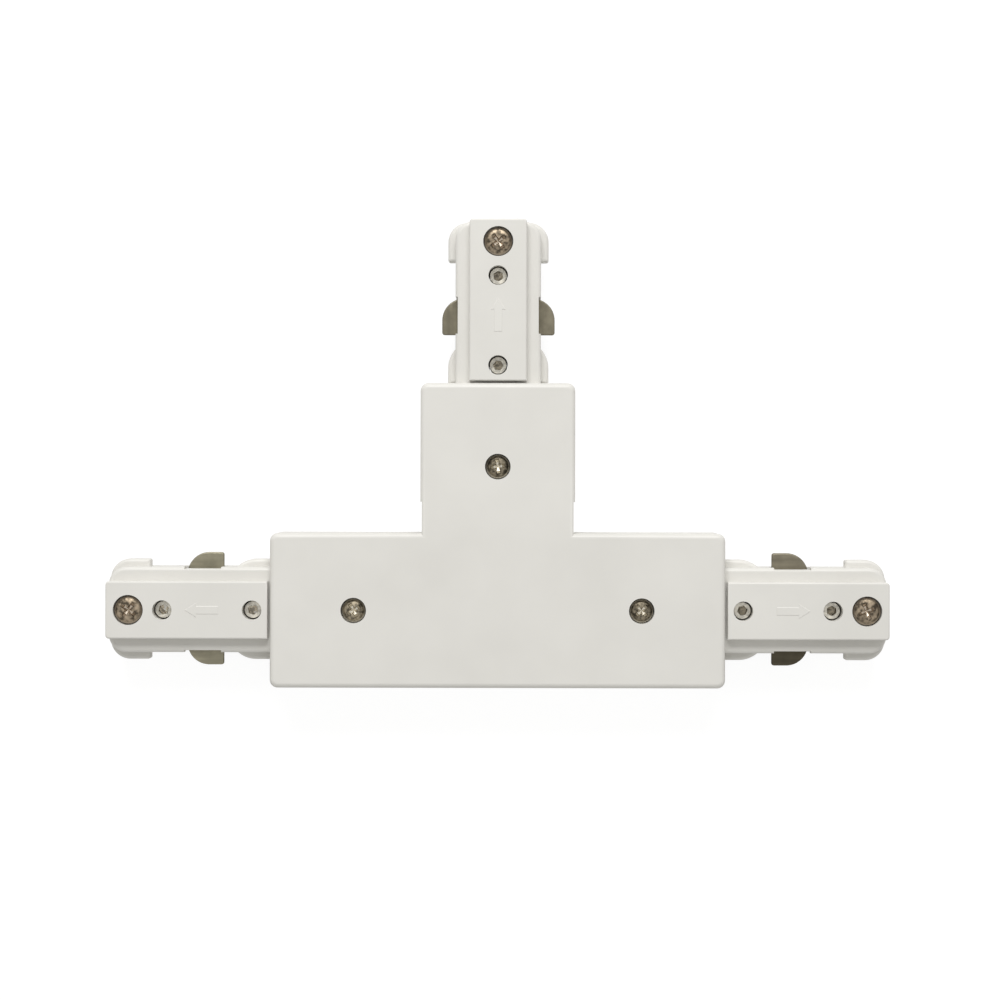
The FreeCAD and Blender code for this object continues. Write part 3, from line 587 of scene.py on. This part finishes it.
# Painted light and shade in the sockets: darker than the steel as painted shade on the right and stem arms,
# lighter as painted light on the left, with spots of painted glint spread through them.
painted_socket_tones = {"right": (0.35, 0.315, 0.25), "stem": (0.42, 0.38, 0.31), "left": (0.68, 0.62, 0.52)}
for number, arm in enumerate(ARMS):
    for place in ("inner", "outer"):
        node = f"set_screw_{arm}_{place}"
        low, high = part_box(f"set_screw_right_{place}")
        steel = screw_finish(f"{node}_steel", (0.62, 0.595, 0.53), painted_socket_tones[arm],
                             top=high.z - 0.3 * MM, depth=2.8 * MM, contrast=1.3, roughness=0.4, recess_spread=1.9)
        pattern = set_screw_pattern((high.y - low.y) / 2, high.z - low.z, key=2.0 * MM, depth=2.4 * MM)
        screw = seated(f"key_screw_{arm}_{place}", pattern, (low.x + high.x) / 2, low.z, steel,
                       key_turns[place], first=number, count=1)
        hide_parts(node)
        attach(screw, node)


# Inner metal: the zinc-plated clamp bars, the earth link that joins them, and two brass busbars.
# The bars lie in the floors of the plugs, and the rest in the housing; screws and tabs hold it all.

def finish_node(node, material):
    """Gives a CAD piece, which stays as it is, its own finish."""
    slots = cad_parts[node].data.materials
    slots.clear()
    slots.append(material)


zinc = plated_strip("zinc_plating", (0.5, 0.52, 0.54), (0.1, 1, 1))
brass = plated_strip("bare_brass", (0.66, 0.45, 0.17), (0.1, 1, 1))
for arm in ARMS:
    finish_node(f"clamp_bar_{arm}", zinc)
finish_node("earth_link", zinc)
finish_node("live_busbar", brass)
finish_node("neutral_busbar", brass)


# Floor: a plain white board. For the camera it is lifted to white, but it still takes the shadow.
# It is open under the housing, just inside its outline, so that the back can be seen from below.

def board():
    """The board with its T-shaped opening."""
    material = bpy.data.materials.new("white_board")
    material.use_nodes = True
    nodes, links = material.node_tree.nodes, material.node_tree.links
    nodes.remove(nodes["Principled BSDF"])
    seen = nodes.new("ShaderNodeBsdfDiffuse")
    seen.inputs["Color"].default_value = (0.17, 0.17, 0.17, 1)
    lift = nodes.new("ShaderNodeEmission")
    lift.inputs["Strength"].default_value = 0.905
    both = nodes.new("ShaderNodeAddShader")
    links.new(seen.outputs["BSDF"], both.inputs[0])
    links.new(lift.outputs["Emission"], both.inputs[1])
    lit = nodes.new("ShaderNodeBsdfDiffuse")
    lit.inputs["Color"].default_value = (0.8, 0.8, 0.8, 1)
    path = nodes.new("ShaderNodeLightPath")
    choice = nodes.new("ShaderNodeMixShader")
    links.new(path.outputs["Is Camera Ray"], choice.inputs["Fac"])
    links.new(lit.outputs["BSDF"], choice.inputs[1])
    links.new(both.outputs["Shader"], choice.inputs[2])
    links.new(choice.outputs["Shader"], nodes["Material Output"].inputs["Surface"])
    side, inset, level = 2.0, 0.5 * MM, -0.1 * MM
    half, reach, stem = -cover_low.y - inset, cover_high.x - inset, cover_high.y - inset
    columns = (-side, -reach, -half, half, reach, side)
    rows = (-side, -half, half, stem, side)
    corners = [(x, y, level) for y in rows for x in columns]
    opening = {(1, 1), (2, 1), (3, 1), (2, 2)}
    cells = []
    for row in range(len(rows) - 1):
        for column in range(len(columns) - 1):
            if (column, row) not in opening:
                first = row * len(columns) + column
                cells.append((first, first + 1, first + 1 + len(columns), first + len(columns)))
    mesh = bpy.data.meshes.new("floor")
    mesh.from_pydata(corners, [], cells)
    mesh.materials.append(material)
    floor = bpy.data.objects.new("floor", mesh)
    bpy.context.collection.objects.link(floor)


board()


# Light: an even, slightly warm white room, one broad soft lamp beyond the stem, and a weak low one on
# the other side. The camera and reflections see the room as pure white.

world = bpy.data.worlds.new("white_room")
bpy.context.scene.world = world
world.use_nodes = True
nodes, links = world.node_tree.nodes, world.node_tree.links
path = nodes.new("ShaderNodeLightPath")
seen = nodes.new("ShaderNodeMath")
seen.operation = "MAXIMUM"
links.new(path.outputs["Is Camera Ray"], seen.inputs[0])
links.new(path.outputs["Is Glossy Ray"], seen.inputs[1])
seen_through = nodes.new("ShaderNodeMath")
seen_through.operation = "MAXIMUM"
links.new(seen.outputs["Value"], seen_through.inputs[0])
links.new(path.outputs["Is Transmission Ray"], seen_through.inputs[1])
room = nodes.new("ShaderNodeMix")
room.data_type = "RGBA"
room.inputs["A"].default_value = (0.49, 0.486, 0.467, 1)
room.inputs["B"].default_value = (1, 1, 1, 1)
links.new(seen_through.outputs["Value"], room.inputs["Factor"])
links.new(room.outputs["Result"], nodes["Background"].inputs["Color"])

middle = Vector((0, 20 * MM, 0))
for name, place, size, energy in (("soft_lamp", (-0.03, 0.82, 0.78), 0.65, 9.8),
                                  ("fill_lamp", (0.1, -0.8, 0.35), 0.6, 0.6)):
    lamp_data = bpy.data.lights.new(name, "AREA")
    lamp_data.size = size
    lamp_data.energy = energy
    lamp = bpy.data.objects.new(name, lamp_data)
    lamp.location = place
    lamp.rotation_euler = (middle - Vector(place)).to_track_quat("-Z", "Y").to_euler()
    bpy.context.collection.objects.link(lamp)


# Camera: straight down from 65 cm above the face, as in the photograph. The nadir is the point that
# lies straight below the camera, and a small shift puts it where it is in the frame.

distance, face_height = 650 * MM, 16.8 * MM
pixels_per_metre = 4420
frame_pixels = 1000
sensor = 36
nadir_x, nadir_y = 5.16 * MM, 29.76 * MM
nadir_pixel_x, nadir_pixel_y = 520.6, 479.2
camera_data = bpy.data.cameras.new("camera")
camera_data.sensor_width = sensor
camera_data.lens = pixels_per_metre * distance * sensor / frame_pixels
camera_data.shift_x = (frame_pixels / 2 - nadir_pixel_x) / frame_pixels
camera_data.shift_y = (nadir_pixel_y - frame_pixels / 2) / frame_pixels
camera = bpy.data.objects.new("camera", camera_data)
camera.location = (nadir_x, nadir_y, distance + face_height)
camera.rotation_euler = (0, 0, math.radians(0.12))
bpy.context.collection.objects.link(camera)
scene = bpy.context.scene
scene.camera = camera
scene.view_settings.view_transform = "Standard"
